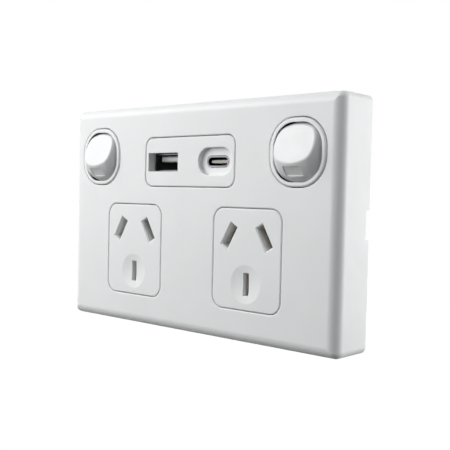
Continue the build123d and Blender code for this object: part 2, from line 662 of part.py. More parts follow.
def make_plunger(side):
    """Round-nosed pin that slides in the rocker's post and presses on the see-saw contact."""
    plane = switch_plane(side, PIVOT_Y, ROCKER_TILT)
    profile_plane = Plane(plane.origin, x_dir=plane.x_dir, z_dir=-plane.y_dir)
    with BuildPart() as plunger:
        with BuildSketch(profile_plane):
            with BuildLine():
                nose = CenterArc((0, -PLUNGER_REACH), PLUNGER_RADIUS, -90, 90)
                Polyline(nose @ 1, (PLUNGER_RADIUS, PLUNGER_TOP), (0, PLUNGER_TOP), nose @ 0)
            make_face()
        revolve(axis=Axis(plane.origin, plane.z_dir))
    return plunger.part


def make_plunger_spring(side):
    """Coil spring between the plunger's flat end and the bottom of its well."""
    plane = switch_plane(side, PIVOT_Y, ROCKER_TILT)
    start = PLUNGER_TOP + SPRING_WIRE / 2
    height = WELL_DEPTH - POST_DROP - PLUNGER_TOP - SPRING_WIRE
    coil_radius = PLUNGER_RADIUS - SPRING_WIRE / 2
    with BuildPart() as spring:
        with BuildLine() as coil:
            Helix(
                pitch=height / SPRING_TURNS,
                height=height,
                radius=coil_radius,
                center=plane.origin + plane.z_dir * start,
                direction=plane.z_dir,
            )
        with BuildSketch(Plane(coil.line @ 0, z_dir=coil.line % 0)):
            Circle(SPRING_WIRE / 2)
        sweep(is_frenet=True)
    return spring.part


def make_moving_contact(side):
    """See-saw contact: a strip on a half-round knuckle, with a contact rivet at its upper end."""
    plane = switch_plane(side, SEESAW_Y, -SEESAW_TILT)
    with BuildPart() as contact:
        with BuildSketch(plane.offset(SEESAW_STANDOFF)):
            RectangleRounded(SEESAW_WIDTH, SEESAW_LENGTH, SEESAW_WIDTH / 4)
        extrude(amount=BRASS)
        with BuildSketch(Plane(plane.origin, z_dir=(1, 0, 0))):
            Circle(KNUCKLE_RADIUS)
        extrude(amount=SEESAW_WIDTH / 2, both=True)
        with BuildSketch(plane.offset(SEESAW_STANDOFF)):
            with Locations((0, RIVET_OFFSET)):
                Circle(RIVET_RADIUS)
        extrude(amount=-RIVET_HEIGHT)
    return contact.part


def make_switched_active(side):
    """Strip from a switch to its socket: a grooved saddle at one end, the active clip at the other."""
    with BuildPart() as strip:
        flat_strip(switched_route(side), STRIP_Y)
        with BuildSketch(face_at(STRIP_Y)):
            with Locations((side * SWITCH_X, SWITCH_Z)):
                Rectangle(SEESAW_WIDTH, SADDLE_LENGTH)
        extrude(amount=BRASS / 2 + SADDLE_HEIGHT)
        with BuildSketch(Plane.YZ.offset(side * SWITCH_X)):
            with Locations((SEESAW_Y, SWITCH_Z)):
                Circle(KNUCKLE_RADIUS + RUNNING_CLEARANCE)
        extrude(amount=SEESAW_WIDTH, both=True, mode=Mode.SUBTRACT)
        contact_clip(live_pin_x(side, -1), LIVE_PIN_Z, LIVE_PIN_TILT, ACTIVE_Y)
    return strip.part


def make_active_feed():
    """Strip that feeds both switches and the charger, with a leg back to the active terminal."""
    terminal_x = TERMINAL_X["active"]
    with BuildPart() as feed:
        flat_strip(feed_route(), STRIP_Y)
        folded_strip(
            [
                (STRIP_Y, FEED_CROSS_Z),
                (STRIP_Y, FEED_REAR_Z),
                (LEG_Y, FEED_REAR_Z),
                (LEG_Y, TERMINAL_Z),
            ],
            terminal_x,
        )
        tab_top = SUPPLY_PIN_Z + STRIP_WIDTH / 2
        flat_strip([(LIVE_PIN_TAB_X, FEED_CROSS_Z), (LIVE_PIN_TAB_X, tab_top)], STRIP_Y)
    return feed.part


def make_neutral_bar():
    """Bar with both neutral clips, a leg to the neutral terminal and a riser to the charger."""
    with BuildPart() as bar:
        for side in SIDES.values():
            contact_clip(live_pin_x(side, 1), LIVE_PIN_Z, -LIVE_PIN_TILT, NEUTRAL_Y)
        flat_strip([(live_pin_x(-1, 1), LIVE_PIN_Z), (live_pin_x(1, 1), LIVE_PIN_Z)], NEUTRAL_Y)
        folded_strip(
            [
                (NEUTRAL_Y, LIVE_PIN_Z),
                (NEUTRAL_Y, LIVE_PIN_Z - 2 * STRIP_BEND),
                (LEG_Y, LIVE_PIN_Z - 4 * STRIP_BEND),
                (LEG_Y, TERMINAL_Z - TERMINAL_HEIGHT / 4),
            ],
            TERMINAL_X["neutral"],
        )
        riser_top = SUPPLY_PIN_Z + STRIP_WIDTH / 2
        flat_strip([(NEUTRAL_RISER_X, LIVE_PIN_Z), (NEUTRAL_RISER_X, riser_top)], NEUTRAL_Y)
    return bar.part


def make_earth_bar():
    """Bar with both earth clips and a leg to the earth terminal."""
    with BuildPart() as bar:
        for side in SIDES.values():
            contact_clip(side * SOCKET_X, EARTH_PIN_Z, 0, EARTH_Y)
        flat_strip([(-SOCKET_X, EARTH_PIN_Z), (SOCKET_X, EARTH_PIN_Z)], EARTH_Y)
        folded_strip(
            [
                (EARTH_Y, EARTH_PIN_Z),
                (EARTH_Y, EARTH_PIN_Z + 2 * STRIP_BEND),
                (LEG_Y, EARTH_PIN_Z + 4 * STRIP_BEND),
                (LEG_Y, TERMINAL_Z + TERMINAL_HEIGHT / 2),
            ],
            TERMINAL_X["earth"],
        )
    return bar.part


def make_terminal(x):
    """Brass tunnel terminal: the wire enters from below, its screw from the rear."""
    with BuildPart() as terminal:
        with BuildSketch(face_at(TERMINAL_REAR_Y)):
            with Locations((x, TERMINAL_Z)):
                RectangleRounded(TERMINAL_WIDTH, TERMINAL_HEIGHT, EDGE_BREAK)
        extrude(amount=TERMINAL_DEPTH)
        with BuildSketch(Plane.XY.offset(TERMINAL_Z)):
            with Locations((x, TERMINAL_BORE_Y)):
                Circle(WIRE_HOLE_RADIUS)
        extrude(amount=TERMINAL_HEIGHT, both=True, mode=Mode.SUBTRACT)
        with BuildSketch(face_at(TERMINAL_REAR_Y)):
            with Locations((x, TERMINAL_Z)):
                Circle(TERMINAL_SCREW_RADIUS + THREAD_CLEARANCE)
        extrude(amount=TERMINAL_DEPTH / 2, mode=Mode.SUBTRACT)
    return terminal.part


def slotted_screw(x, z, head_y, head, height, shank, reach):
    """A slotted pan-head screw that points to the front, its head resting on depth head_y."""
    with BuildSketch(face_at(head_y + height)) as head_disc:
        with Locations((x, z)):
            Circle(head)
    extrude(head_disc.sketch, amount=height)
    with BuildSketch(face_at(head_y)) as shank_disc:
        with Locations((x, z)):
            Circle(shank)
    extrude(shank_disc.sketch, amount=reach)
    with BuildSketch(face_at(head_y + height)) as slot:
        with Locations((x, z)):
            Rectangle(2 * head, SCREW_SLOT_WIDTH)
    extrude(slot.sketch, amount=SCREW_SLOT_DEPTH, mode=Mode.SUBTRACT)


def make_terminal_screws():
    reach = TERMINAL_REAR_Y - TERMINAL_BORE_Y - WIRE_HOLE_RADIUS - TERMINAL_CLEARANCE
    with BuildPart() as screws:
        for x in TERMINAL_X.values():
            slotted_screw(
                x,
                TERMINAL_Z,
                TERMINAL_REAR_Y,
                TERMINAL_HEAD_RADIUS,
                TERMINAL_HEAD_HEIGHT,
                TERMINAL_SCREW_RADIUS,
                reach,
            )
    return screws.part


def make_assembly_screws():
    with BuildPart() as screws:
        for side in SIDES.values():
            for x, z in SCREW_PLACES:
                slotted_screw(
                    side * x,
                    z,
                    POST_FLOOR,
                    SCREW_HEAD_RADIUS,
                    SCREW_HEAD_HEIGHT,
                    SCREW_RADIUS,
                    POST_FLOOR + FRAME_THICK + SCREW_REACH,
                )
    return screws.part


def make_rear_housing():
    """Moulded rear box: screw posts, wire entries below, screw holes and barriers between terminals."""
    height = HOUSING_TOP - HOUSING_BOTTOM
    centre_z = (HOUSING_TOP + HOUSING_BOTTOM) / 2
    inner_bottom = HOUSING_BOTTOM + HOUSING_WALL
    with BuildPart() as housing:
        with BuildSketch(face_at(HOUSING_DEPTH)):
            with Locations((0, centre_z)):
                RectangleRounded(HOUSING_WIDTH, height, HOUSING_CORNER)
        extrude(amount=HOUSING_DEPTH)
        fillet(housing.faces().sort_by(Axis.Y)[-1].edges(), HOUSING_EDGE)
        with BuildSketch(face_at(HOUSING_REAR_Y)):
            with Locations((0, centre_z)):
                RectangleRounded(
                    HOUSING_WIDTH - 2 * HOUSING_WALL,
                    height - 2 * HOUSING_WALL,
                    HOUSING_CORNER - HOUSING_WALL,
                )
        extrude(amount=HOUSING_REAR_Y, mode=Mode.SUBTRACT)
        # Screw posts with a deep counterbore
        with BuildSketch(face_at(HOUSING_REAR_Y)):
            for side in SIDES.values():
                for x, z in SCREW_PLACES:
                    with Locations((side * x, z)):
                        Circle(POST_RADIUS)
        extrude(amount=HOUSING_REAR_Y)
        with BuildSketch(face_at(HOUSING_DEPTH)):
            for side in SIDES.values():
                for x, z in SCREW_PLACES:
                    with Locations((side * x, z)):
                        Circle(SCREW_HEAD_RADIUS + SCREW_CLEARANCE)
        extrude(amount=HOUSING_DEPTH - POST_FLOOR, mode=Mode.SUBTRACT)
        with BuildSketch(face_at(POST_FLOOR)):
            for side in SIDES.values():
                for x, z in SCREW_PLACES:
                    with Locations((side * x, z)):
                        Circle(SCREW_RADIUS + SCREW_CLEARANCE)
        extrude(amount=POST_FLOOR, mode=Mode.SUBTRACT)
        # Barriers on both sides of the middle terminal
        barrier_top = TERMINAL_Z + TERMINAL_HEIGHT / 2
        with BuildSketch(face_at(HOUSING_REAR_Y)):
            with Locations((0, (barrier_top + inner_bottom) / 2)):
                with GridLocations(TERMINAL_SPACING, 0, 2, 1):
                    Rectangle(BARRIER_THICK, barrier_top - inner_bottom)
        extrude(amount=TERMINAL_DEPTH)
        with BuildSketch(face_at(HOUSING_DEPTH)):
            with Locations((0, TERMINAL_Z)):
                with GridLocations(TERMINAL_SPACING, 0, 3, 1):
                    Circle(TERMINAL_HEAD_RADIUS + SCREW_CLEARANCE)
        extrude(amount=HOUSING_WALL, mode=Mode.SUBTRACT)
        with BuildSketch(Plane.XY.offset(HOUSING_BOTTOM)):
            with Locations((0, TERMINAL_BORE_Y)):
                with GridLocations(TERMINAL_SPACING, 0, 3, 1):
                    RectangleRounded(WIRE_ENTRY_SIZE, WIRE_ENTRY_SIZE, WIRE_ENTRY_CORNER)
        extrude(amount=HOUSING_WALL, mode=Mode.SUBTRACT)
        # Slot for the neutral riser
        with Locations((NEUTRAL_RISER_X, NEUTRAL_Y, HOUSING_TOP)):
            Box(
                STRIP_WIDTH + 2 * STRIP_CLEARANCE,
                BRASS + 2 * STRIP_CLEARANCE,
                4 * HOUSING_WALL,
                mode=Mode.SUBTRACT,
            )
    return housing.part


def make_usb_face():
    """Charger face: a square-cornered USB-A mouth and a rounded recess round the USB-C port."""
    with BuildPart() as face:
        with BuildSketch(face_at(SHOULDER_Y)):
            with Locations((0, USB_Z)):
                RectangleRounded(USB_FACE_WIDTH, USB_FACE_HEIGHT, USB_FACE_CORNER)
        extrude(amount=SHOULDER_Y - FRONT_Y)
        fillet(face.faces().sort_by(Axis.Y)[0].edges(), EDGE_BREAK)
        with BuildSketch(face_at(USB_CASE_FRONT_Y)):
            with Locations((0, USB_Z)):
                RectangleRounded(
                    USB_FACE_WIDTH + 2 * SHOULDER_WIDTH,
                    USB_FACE_HEIGHT + 2 * SHOULDER_WIDTH,
                    USB_FACE_CORNER + SHOULDER_WIDTH,
                )
        extrude(amount=SHOULDER_THICK)
        with BuildSketch(face_at(USB_C_FRONT_Y)):
            with Locations((USB_C_X, USB_Z)):
                SlotOverall(USB_C_RECESS_WIDTH, USB_C_RECESS_HEIGHT)
        extrude(amount=USB_C_RECESS, mode=Mode.SUBTRACT)
        fillet(face.faces().sort_by(Axis.Y)[0].inner_wires().edges(), EDGE_BREAK)
        with BuildSketch(face_at(USB_CASE_FRONT_Y)):
            with Locations((USB_A_X, USB_Z)):
                Rectangle(USB_A_MOUTH_WIDTH, USB_A_MOUTH_HEIGHT)
            with Locations((USB_C_X, USB_Z)):
                SlotOverall(
                    USB_C_SHELL_WIDTH + 2 * PORT_CLEARANCE, USB_C_SHELL_HEIGHT + 2 * PORT_CLEARANCE
                )
        extrude(amount=USB_CASE_FRONT_Y - FRONT_Y, mode=Mode.SUBTRACT)
    return face.part


def make_usb_case():
    """Rear box of the charger, with ledges for its board and slots for the two supply strips."""
    with BuildPart() as case:
        with BuildSketch(face_at(USB_CASE_REAR)):
            with Locations((0, USB_Z)):
                RectangleRounded(USB_CASE_WIDTH, USB_CASE_HEIGHT, USB_CASE_CORNER)
        extrude(amount=USB_CASE_REAR - USB_CASE_FRONT_Y)
        fillet(case.faces().sort_by(Axis.Y)[-1].edges(), HOUSING_EDGE)
        with BuildSketch(face_at(USB_CASE_REAR - USB_CASE_WALL)):
            with Locations((0, USB_Z)):
                Rectangle(CASE_INNER_WIDTH, CASE_INNER_HEIGHT)
        extrude(amount=USB_CASE_REAR - USB_CASE_WALL - USB_CASE_FRONT_Y, mode=Mode.SUBTRACT)
        # Ledges behind the board's short edges
        with BuildSketch(face_at(USB_CASE_REAR - USB_CASE_WALL)):
            with Locations((0, USB_Z)):
                with GridLocations(2 * LEDGE_X + USB_CASE_WALL, 0, 2, 1):
                    Rectangle(USB_CASE_WALL, CASE_INNER_HEIGHT)
        extrude(amount=USB_CASE_REAR - USB_CASE_WALL - BOARD_REAR_Y)
        for x, y in ((LIVE_PIN_TAB_X, STRIP_Y), (NEUTRAL_RISER_X, NEUTRAL_Y)):
            with Locations((x, y, CASE_BOTTOM_Z)):
                Box(
                    STRIP_WIDTH + 2 * STRIP_CLEARANCE,
                    BRASS + 2 * STRIP_CLEARANCE,
                    4 * USB_CASE_WALL,
                    mode=Mode.SUBTRACT,
                )
    return case.part


def make_usb_a_shell():
    with BuildPart() as shell:
        with BuildSketch(face_at(BOARD_FRONT)):
            with Locations((USB_A_X, USB_Z)):
                RectangleRounded(USB_A_SHELL_WIDTH, USB_A_SHELL_HEIGHT, USB_A_SHELL_CORNER)
                RectangleRounded(
                    USB_A_SHELL_WIDTH - 2 * SHELL_SHEET,
                    USB_A_SHELL_HEIGHT - 2 * SHELL_SHEET,
                    USB_A_SHELL_CORNER - SHELL_SHEET,
                    mode=Mode.SUBTRACT,
                )
        extrude(amount=BOARD_FRONT - USB_A_FRONT_Y)
    return shell.part


def make_usb_a_tongue():
    """Insulating tongue that carries the USB-A contacts, on a base that fills the shell's rear."""
    tongue_z = USB_Z + USB_A_TONGUE_RISE
    tongue_front = USB_A_FRONT_Y + USB_A_TONGUE_SETBACK
    base_front = tongue_front + USB_A_CONTACT_LENGTH + 2 * USB_A_CONTACT_WIDTH
    inset = SHELL_SHEET + PORT_CLEARANCE
    with BuildPart() as tongue:
        with BuildSketch(face_at(BOARD_FRONT)):
            with Locations((USB_A_X, USB_Z)):
                Rectangle(USB_A_SHELL_WIDTH - 2 * inset, USB_A_SHELL_HEIGHT - 2 * inset)
        extrude(amount=BOARD_FRONT - base_front)
        with BuildSketch(face_at(base_front)):
            with Locations((USB_A_X, tongue_z)):
                Rectangle(USB_A_TONGUE_WIDTH, USB_A_TONGUE_THICK)
        extrude(amount=base_front - tongue_front)
        chamfer(tongue.faces().sort_by(Axis.Y)[0].edges(), EDGE_BREAK)
    return tongue.part


def make_usb_a_contacts():
    contact_z = USB_Z + USB_A_TONGUE_RISE - USB_A_TONGUE_THICK / 2 - CONTACT_SHEET / 2
    rear_y = USB_A_FRONT_Y + USB_A_TONGUE_SETBACK + USB_A_CONTACT_WIDTH + USB_A_CONTACT_LENGTH
    with BuildPart() as contacts:
        with BuildSketch(face_at(rear_y)):
            with Locations((USB_A_X, contact_z)):
                with GridLocations(USB_A_CONTACT_PITCH, 0, 4, 1):
                    Rectangle(USB_A_CONTACT_WIDTH, CONTACT_SHEET)
        extrude(amount=USB_A_CONTACT_LENGTH)
    return contacts.part


def make_usb_c_shell():
    with BuildPart() as shell:
        with BuildSketch(face_at(BOARD_FRONT)):
            with Locations((USB_C_X, USB_Z)):
                SlotOverall(USB_C_SHELL_WIDTH, USB_C_SHELL_HEIGHT)
                SlotOverall(
                    USB_C_SHELL_WIDTH - 2 * SHELL_SHEET,
                    USB_C_SHELL_HEIGHT - 2 * SHELL_SHEET,
                    mode=Mode.SUBTRACT,
                )
        extrude(amount=BOARD_FRONT - USB_C_FRONT_Y)
    return shell.part


def make_usb_c_tongue():
    """Thin middle tongue of the USB-C port, on a plug that fills the shell's rear."""
    tongue_front = USB_C_FRONT_Y + USB_C_TONGUE_SETBACK
    base_front = tongue_front + USB_C_TONGUE_LENGTH
    inset = SHELL_SHEET + CONTACT_SHEET
    with BuildPart() as tongue:
        with BuildSketch(face_at(BOARD_FRONT)):
            with Locations((USB_C_X, USB_Z)):
                SlotOverall(USB_C_SHELL_WIDTH - 2 * inset, USB_C_SHELL_HEIGHT - 2 * inset)
        extrude(amount=BOARD_FRONT - base_front)
        with BuildSketch(face_at(base_front)):
            with Locations((USB_C_X, USB_Z)):
                Rectangle(USB_C_TONGUE_WIDTH, USB_C_TONGUE_THICK)
        extrude(amount=base_front - tongue_front)
    return tongue.part


def make_usb_c_contacts():
    rear_y = USB_C_FRONT_Y + USB_C_TONGUE_SETBACK + USB_C_CONTACT_PITCH + USB_C_CONTACT_LENGTH
    with BuildPart() as contacts:
        with BuildSketch(face_at(rear_y)):
            with Locations((USB_C_X, USB_Z)):
                rows = USB_C_TONGUE_THICK + CONTACT_SHEET
                with GridLocations(USB_C_CONTACT_PITCH, rows, USB_C_CONTACT_COUNT, 2):
                    Rectangle(USB_C_CONTACT_WIDTH, CONTACT_SHEET)
        extrude(amount=USB_C_CONTACT_LENGTH)
    return contacts.part


def make_usb_board():
    with BuildPart() as board:
        with BuildSketch(face_at(BOARD_REAR_Y)):
            with Locations((0, USB_Z)):
                Rectangle(
                    CASE_INNER_WIDTH - 2 * BOARD_CLEARANCE, CASE_INNER_HEIGHT - 2 * BOARD_CLEARANCE
                )
            with Locations((LIVE_PIN_TAB_X, SUPPLY_PIN_Z), (NEUTRAL_RISER_X, SUPPLY_PIN_Z)):
                Circle(SUPPLY_PIN_RADIUS + THREAD_CLEARANCE, mode=Mode.SUBTRACT)
        extrude(amount=BOARD_THICK)
    return board.part


def make_transformer_core():
    """Ferrite frame of the transformer, open at its top and bottom for the winding."""
    with BuildPart() as core:
        with BuildSketch(Plane.XY.offset(USB_Z)):
            with Locations((CORE_X, BOARD_REAR_Y + CORE_DEPTH / 2)):
                Rectangle(CORE_WIDTH, CORE_DEPTH)
                window = CORE_DEPTH - 2 * CORE_LIMB
                Rectangle(CORE_WIDTH - 2 * CORE_LIMB, window, mode=Mode.SUBTRACT)
        extrude(amount=CORE_HEIGHT / 2, both=True)
    return core.part


def make_transformer_winding():
    """Taped winding inside the core's window, standing out above and below it."""
    with BuildPart() as winding:
        with BuildSketch(Plane.XY.offset(USB_Z)):
            with Locations((CORE_X, BOARD_REAR_Y + CORE_DEPTH / 2)):
                RectangleRounded(
                    CORE_WIDTH - 2 * CORE_LIMB - 2 * PORT_CLEARANCE,
                    CORE_DEPTH - 2 * CORE_LIMB - 2 * PORT_CLEARANCE,
                    EDGE_BREAK,
                )
        extrude(amount=WINDING_HEIGHT / 2, both=True)
    return winding.part


def make_board_capacitors():
    with BuildPart() as capacitors:
        with BuildSketch(face_at(BOARD_REAR_Y + CAPACITOR_LENGTH)):
            with Locations((CAPACITOR_X, USB_Z), (CAPACITOR_X - CAPACITOR_SPACING, USB_Z)):
                Circle(CAPACITOR_RADIUS)
        extrude(amount=CAPACITOR_LENGTH)
        fillet(capacitors.faces().group_by(Axis.Y)[-1].edges(), CAPACITOR_EDGE)
    return capacitors.part


def make_supply_pins():
    """Two pins through the board: one forward to the active feed, one back to the neutral riser."""
    with BuildPart() as pins:
        with BuildSketch(face_at(BOARD_REAR_Y)):
            with Locations((LIVE_PIN_TAB_X, SUPPLY_PIN_Z)):
                Circle(SUPPLY_PIN_RADIUS)
        extrude(amount=BOARD_REAR_Y - STRIP_Y - BRASS / 2)
        with BuildSketch(face_at(NEUTRAL_Y - BRASS / 2)):
            with Locations((NEUTRAL_RISER_X, SUPPLY_PIN_Z)):
                Circle(SUPPLY_PIN_RADIUS)
        extrude(amount=NEUTRAL_Y - BRASS / 2 - BOARD_FRONT)
    return pins.part


os.makedirs("parts", exist_ok=True)

save(make_cover_plate(), "cover_plate")
save(make_mounting_frame(), "mounting_frame")
for name, side in SIDES.items():
    save(make_socket_front(side), f"socket_front_{name}")
    save(make_switch_housing(side), f"switch_housing_{name}")
    save(make_rocker(side), f"rocker_{name}")
    save(make_plunger(side), f"plunger_{name}")
    save(make_plunger_spring(side), f"plunger_spring_{name}")
    save(make_moving_contact(side), f"moving_contact_{name}")
    save(make_switched_active(side), f"switched_active_{name}")
save(make_active_feed(), "active_feed")
save(make_neutral_bar(), "neutral_bar")
save(make_earth_bar(), "earth_bar")
for name, x in TERMINAL_X.items():
    save(make_terminal(x), f"{name}_terminal")
save(make_terminal_screws(), "terminal_screws")
save(make_rear_housing(), "rear_housing")
save(make_assembly_screws(), "assembly_screws")
save(make_usb_face(), "usb_face")
save(make_usb_case(), "usb_case")
save(make_usb_a_shell(), "usb_a_shell")
save(make_usb_a_tongue(), "usb_a_tongue")
save(make_usb_a_contacts(), "usb_a_contacts")
save(make_usb_c_shell(), "usb_c_shell")
save(make_usb_c_tongue(), "usb_c_tongue")
save(make_usb_c_contacts(), "usb_c_contacts")
save(make_usb_board(), "usb_board")
save(make_transformer_core(), "transformer_core")
save(make_transformer_winding(), "transformer_winding")
save(make_board_capacitors(), "board_capacitors")
save(make_supply_pins(), "supply_pins")
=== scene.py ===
import json

import bpy
from mathutils import Matrix, Vector


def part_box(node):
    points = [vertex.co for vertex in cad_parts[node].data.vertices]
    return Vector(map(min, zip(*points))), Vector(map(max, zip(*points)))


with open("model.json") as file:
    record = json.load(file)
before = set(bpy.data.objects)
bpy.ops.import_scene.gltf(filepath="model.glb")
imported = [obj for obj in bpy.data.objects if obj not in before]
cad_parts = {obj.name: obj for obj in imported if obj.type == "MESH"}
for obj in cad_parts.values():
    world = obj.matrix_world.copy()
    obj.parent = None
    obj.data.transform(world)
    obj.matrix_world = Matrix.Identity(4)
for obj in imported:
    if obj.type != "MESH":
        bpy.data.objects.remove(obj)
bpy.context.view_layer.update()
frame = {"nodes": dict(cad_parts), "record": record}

# Camera that took the photograph, in the part's frame (metres), with its focal length in pixels
IMAGE_WIDTH = 450
FOCAL_PIXELS = 771.38
SENSOR_WIDTH = 36.0
CAMERA_PLACE = (0.172922, -0.189666, 0.007694)
CAMERA_RIGHT = (0.743997, 0.667765, 0.023632)
CAMERA_UP = (-0.043753, 0.013394, 0.998953)
CAMERA_NEAR = 0.01

# Floor well below the object (metres), and how brightly it shows close by and far away
FLOOR_Z = -0.45
FLOOR_SIZE = 6.0
FLOOR_NEAR = 0.6
FLOOR_FAR = 1.2
FLOOR_NEAR_GLOW = 0.72
FLOOR_FAR_GLOW = 1.0
FLOOR_TONE = (0.06, 0.06, 0.06, 1)
FLOOR_ROUGHNESS = 0.9

# Studio light: square lamps by place, side (metres) and power (watts), and an even glow all round
LAMP_AIM = (0.0, -0.008, 0.0)
LAMPS = {
    "key_left": dict(place=(-0.33, -0.36, 0.19), side=0.50, watts=2.33),
    "glint_left": dict(place=(-0.56, -0.53, 0.49), side=0.20, watts=0.9),
    "side_right": dict(place=(0.40, 0.37, 0.07), side=0.40, watts=2.2),
}
AMBIENT = (0.362, 0.379, 0.384, 1)
WHITE = (1, 1, 1, 1)

# Noise: the part of its range that is used, and how many features it has per metre
NOISE_LOW = 0.3
NOISE_HIGH = 0.7
TONE_PATCHES = 60
SHEEN_PATCHES = 240
TARNISH_PATCHES = 150
DRAW_LINES = 900
TONE_DETAIL = 4
SHEEN_DETAIL = 3
GRAIN_DETAIL = 2
TARNISH_DETAIL = 5
LINE_DETAIL = 3

# Draw lines run along the direction in which the noise is stretched
LINES_ALONG_X = (0.06, 1, 1)
LINES_ALONG_Y = (1, 0.06, 1)
NO_STRETCH = (1, 1, 1)

# Sheen: how far the roughness strays from a material's own
SHEEN_SPREAD = 0.04
LINE_POLISHED = 0.06
LINE_DULLED = 0.08

# Relief of a fine grain, and how far light spreads under the skin of white plastic (metres)
FINE = 2.0e-6
SCATTER_REACH = 0.0012
SCATTER_RADIUS = (1.0, 1.0, 1.0)
WHITE_SCATTER = 0.3

# Moulded plastics: two tones, roughness, grain per metre, its relief, and scatter for the white ones
COVER_DARK = (0.852, 0.855, 0.855)
COVER_LIGHT = (0.882, 0.885, 0.885)
# The rockers' tones are the cover's white toned down, so that the key lamp's highlight on them stays
# below white: painted shade
ROCKER_SHADED_DARK = (0.782, 0.785, 0.785)
ROCKER_SHADED_LIGHT = (0.810, 0.813, 0.813)
PLASTICS = {
    "cover_white": dict(
        dark=COVER_DARK, light=COVER_LIGHT, rough=0.42, grain=3800, relief=FINE, scatter=WHITE_SCATTER
    ),
    "face_white": dict(
        dark=COVER_DARK, light=COVER_LIGHT, rough=0.42, grain=3800, relief=FINE, scatter=WHITE_SCATTER
    ),
    "bezel_white": dict(
        dark=COVER_DARK, light=COVER_LIGHT, rough=0.38, grain=3800, relief=FINE, scatter=WHITE_SCATTER
    ),
    "rocker_white": dict(
        dark=ROCKER_SHADED_DARK, light=ROCKER_SHADED_LIGHT, rough=0.33, grain=4200, relief=FINE, scatter=WHITE_SCATTER
    ),
    "frame_white": dict(
        dark=(0.70, 0.70, 0.69), light=(0.76, 0.76, 0.75), rough=0.55, grain=2600, relief=2 * FINE
    ),
    "housing_plastic": dict(
        dark=(0.66, 0.66, 0.65), light=(0.73, 0.73, 0.72), rough=0.6, grain=2200, relief=3 * FINE
    ),
    "case_plastic": dict(
        dark=(0.62, 0.62, 0.61), light=(0.69, 0.69, 0.68), rough=0.6, grain=2200, relief=3 * FINE
    ),
    "plunger_plastic": dict(
        dark=(0.58, 0.55, 0.46), light=(0.64, 0.61, 0.52), rough=0.5, grain=3000, relief=FINE
    ),
    "tongue_grey": dict(
        dark=(0.78, 0.79, 0.80), light=(0.85, 0.86, 0.87), rough=0.45, grain=3000, relief=FINE
    ),
    # The USB-C tongue is toned darker than its plastic, for the shade inside the port: painted shade
    "tongue_pale": dict(
        dark=(0.38, 0.38, 0.39), light=(0.44, 0.44, 0.45), rough=0.45, grain=3000, relief=FINE
    ),
    "board_green": dict(
        dark=(0.010, 0.060, 0.022), light=(0.016, 0.085, 0.032), rough=0.4, grain=900, relief=4 * FINE
    ),
    "ferrite": dict(
        dark=(0.014, 0.014, 0.016), light=(0.024, 0.024, 0.026), rough=0.62, grain=2600, relief=4 * FINE
    ),
    "winding_tape": dict(
        dark=(0.62, 0.34, 0.02), light=(0.72, 0.42, 0.03), rough=0.3, grain=700, relief=4 * FINE
    ),
    "capacitor_sleeve": dict(
        dark=(0.006, 0.007, 0.018), light=(0.010, 0.012, 0.028), rough=0.3, grain=900, relief=FINE
    ),
}

# Drawn, stamped and turned metals: two tones, roughness and the direction of their lines
METALS = {
    "spring_steel": dict(
        dark=(0.40, 0.40, 0.41), light=(0.52, 0.52, 0.53), rough=0.3, lines=LINES_ALONG_Y
    ),
    "contact_brass": dict(
        dark=(0.60, 0.38, 0.12), light=(0.72, 0.48, 0.18), rough=0.3, lines=LINES_ALONG_X
    ),
    "strip_brass": dict(
        dark=(0.54, 0.45, 0.30), light=(0.66, 0.56, 0.38), rough=0.32, lines=LINES_ALONG_X
    ),
    "terminal_brass": dict(
        dark=(0.54, 0.33, 0.10), light=(0.66, 0.43, 0.15), rough=0.34, lines=LINES_ALONG_Y
    ),
    "screw_steel": dict(
        dark=(0.50, 0.51, 0.53), light=(0.62, 0.63, 0.65), rough=0.34, lines=LINES_ALONG_X
    ),
    # The port shells are toned far darker than their steel, for the shade inside the ports: painted
    # shade
    "shell_steel": dict(
        dark=(0.12, 0.12, 0.125), light=(0.17, 0.17, 0.175), rough=0.34, lines=LINES_ALONG_Y
    ),
    # The contacts' gold is toned far darker than gold, for the shade inside the ports: painted shade
    "contact_gold": dict(
        dark=(0.20, 0.165, 0.105), light=(0.27, 0.22, 0.14), rough=0.24, lines=LINES_ALONG_Y
    ),
    "pin_tinned": dict(
        dark=(0.52, 0.52, 0.53), light=(0.64, 0.64, 0.65), rough=0.32, lines=LINES_ALONG_Y
    ),
}

# Depths behind the plate's front (metres) over which shade is painted into the colour of the switch
# wells and the port shells, where little light gets in: the painted shade begins, is full, begins to
# fade, and ends
SWITCH_WELL = (0.0016, 0.0028, 0.0090, 0.0110)
WELL_PAINTED_SHADE = (0.02, 0.02, 0.02)
PORT_INSIDE = (0.00155, 0.0020, 0.0190, 0.0210)
PORT_PAINTED_SHADE = (0.10, 0.10, 0.10)
FRONT_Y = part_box("cover_plate")[0].y


def link(tree, source, target):
    tree.links.new(source, target)


def new_material(name):
    material = bpy.data.materials.new(name)
    material.use_nodes = True
    tree = material.node_tree
    return material, tree, tree.nodes["Principled BSDF"]


def noise(tree, scale, detail, stretch=NO_STRETCH):
    """Noise over the part's own coordinates; scale counts features per metre."""
    place = tree.nodes.new("ShaderNodeTexCoord")
    mapping = tree.nodes.new("ShaderNodeMapping")
    mapping.inputs["Scale"].default_value = stretch
    texture = tree.nodes.new("ShaderNodeTexNoise")
    texture.inputs["Scale"].default_value = scale
    texture.inputs["Detail"].default_value = detail
    link(tree, place.outputs["Object"], mapping.inputs["Vector"])
    link(tree, mapping.outputs["Vector"], texture.inputs["Vector"])
    return texture.outputs["Fac"]


def ramp(tree, value, start, end, low, high):
    """Straight ramp from low at start to high at end, flat outside."""
    node = tree.nodes.new("ShaderNodeMapRange")
    node.inputs["From Min"].default_value = start
    node.inputs["From Max"].default_value = end
    node.inputs["To Min"].default_value = low
    node.inputs["To Max"].default_value = high
    link(tree, value, node.inputs["Value"])
    return node.outputs["Result"]


